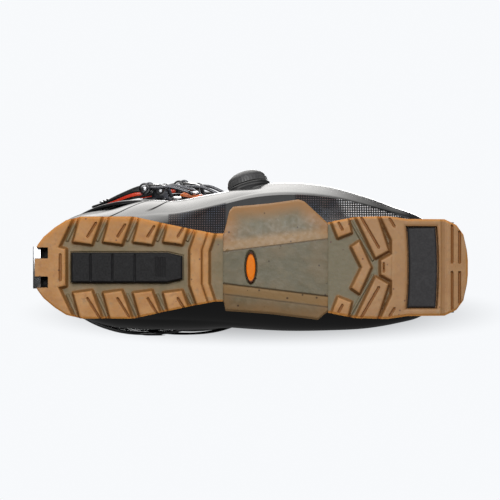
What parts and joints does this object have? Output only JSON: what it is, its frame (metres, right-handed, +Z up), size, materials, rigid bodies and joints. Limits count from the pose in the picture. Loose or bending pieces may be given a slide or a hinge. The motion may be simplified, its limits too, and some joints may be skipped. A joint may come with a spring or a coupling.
{
  "type": "alpine ski touring boot",
  "caption": "Right touring ski boot: lugged gum sole, hinged cuff with lever buckles, dial-laced instep, walk lock and padded liner.",
  "frame": {"origin": "centre of the heel contact pad's face, on the plane that the boot stands on", "axes": "+X towards the toe, +Y towards the medial (inner) side, +Z up"},
  "size_m": [0.3196, 0.1307, 0.344],
  "materials": {
    "shell_gloss": "glossy black moulded plastic with a fine dotted weave on its lateral side",
    "cuff_gloss": "glossy black moulded plastic",
    "gum_rubber": "matte tan gum rubber with brown specks",
    "arch_rubber": "satin olive-grey translucent gum rubber with brown specks",
    "pad_rubber": "matte black hard rubber",
    "orange_plastic": "satin orange plastic",
    "steel": "polished steel",
    "dark_metal": "black anodised metal",
    "lever_black": "satin black lever",
    "dial_plastic": "satin dark grey plastic",
    "lace": "braided lace",
    "liner_fabric": "dark knitted fabric over foam",
    "webbing": "black woven webbing",
    "board": "grey moulded board"
  },
  "bodies": {
    "shell": {"lower_shell": "shell_gloss", "instep_flap": "shell_gloss", "heel_outsole": "gum_rubber", "arch_outsole": "arch_rubber", "toe_outsole": "gum_rubber", "heel_pad": "pad_rubber", "toe_pad": "pad_rubber", "sole_badge": "orange_plastic", "heel_insert": "steel", "heel_insert_screw": "dark_metal", "toe_insert_lateral": "steel", "toe_insert_medial": "steel", "boot_board": "board", "liner_foot": "liner_fabric", "footbed": "board", "dial_base": "dial_plastic", "dial_lace": "lace", "lace_guide_1": "shell_gloss", "lace_guide_2": "shell_gloss", "lace_guide_3": "shell_gloss", "lace_guide_4": "shell_gloss", "pivot_bolt_lateral": "dark_metal", "pivot_bolt_medial": "dark_metal", "lock_plate": "dark_metal", "lock_pin": "steel"},
    "dial_spool": {"dial_spool": "steel"},
    "dial_knob": {"dial_knob": "dial_plastic"},
    "cuff": {"cuff": "cuff_gloss", "liner_cuff": "liner_fabric", "liner_tongue": "liner_fabric", "pull_loop": "webbing", "power_strap": "webbing", "lever_bracket": "dark_metal", "lever_axle": "steel", "bar_axle": "steel", "lower_bracket": "dark_metal", "lower_lever_pin": "steel", "lower_ladder": "orange_plastic", "lower_ladder_rivet_1": "steel", "lower_ladder_rivet_2": "steel", "upper_bracket": "dark_metal", "upper_lever_pin": "steel", "upper_ladder": "orange_plastic", "upper_ladder_rivet_1": "steel", "upper_ladder_rivet_2": "steel"},
    "walk_lever": {"walk_lever": "lever_black"},
    "lock_bar": {"lock_bar": "steel"},
    "lower_lever": {"lower_lever": "lever_black", "lower_bail_pin": "steel"},
    "lower_bail": {"lower_bail": "steel"},
    "upper_lever": {"upper_lever": "lever_black", "upper_bail_pin": "steel"},
    "upper_bail": {"upper_bail": "steel"}
  },
  "joints": [
    {"name": "cuff_flex", "type": "hinge", "parent": "shell", "child": "cuff", "pos_m": [0.015, 0, 0.098], "axis": [0, 1, 0], "range_deg": [-22, 22]},
    {"name": "dial_turn", "type": "hinge", "parent": "shell", "child": "dial_spool", "pos_m": [0.08733, -0.05586, 0.0758], "axis": [-0.2576, -0.9286, 0.267], "continuous": true},
    {"name": "dial_pull", "type": "slide", "parent": "dial_spool", "child": "dial_knob", "axis": [-0.2576, -0.9286, 0.267], "range_m": [0, 0.003]},
    {"name": "walk_lever_swing", "type": "hinge", "parent": "cuff", "child": "walk_lever", "pos_m": [-0.0685, 0, 0.2], "axis": [0, -1, 0], "range_deg": [0, 172]},
    {"name": "lock_bar_swing", "type": "hinge", "parent": "cuff", "child": "lock_bar", "pos_m": [-0.0715, 0, 0.181], "axis": [0, -1, 0], "range_deg": [0, 3.01]},
    {"name": "lower_lever_swing", "type": "hinge", "parent": "cuff", "child": "lower_lever", "pos_m": [0.01782, -0.06144, 0.18022], "axis": [0.1533, -0.0647, 0.9861], "range_deg": [0, 140]},
    {"name": "lower_bail_swing", "type": "hinge", "parent": "lower_lever", "child": "lower_bail", "pos_m": [0.00558, -0.06251, 0.18205], "axis": [0.1533, -0.0647, 0.9861], "range_deg": [-162, 0]},
    {"name": "upper_lever_swing", "type": "hinge", "parent": "cuff", "child": "upper_lever", "pos_m": [0.04314, -0.06401, 0.23383], "axis": [0.1929, -0.0631, 0.9792], "range_deg": [0, 140]},
    {"name": "upper_bail_swing", "type": "hinge", "parent": "upper_lever", "child": "upper_bail", "pos_m": [0.03117, -0.0665, 0.23603], "axis": [0.1929, -0.0631, 0.9792], "range_deg": [-162, 0]}
  ],
  "couplings": [
    {"joint": "lock_bar_swing", "follows": "walk_lever_swing", "ratio": 0.01744},
    {"joint": "lower_bail_swing", "follows": "lower_lever_swing", "ratio": -1.15},
    {"joint": "upper_bail_swing", "follows": "upper_lever_swing", "ratio": -1.15}
  ]
}
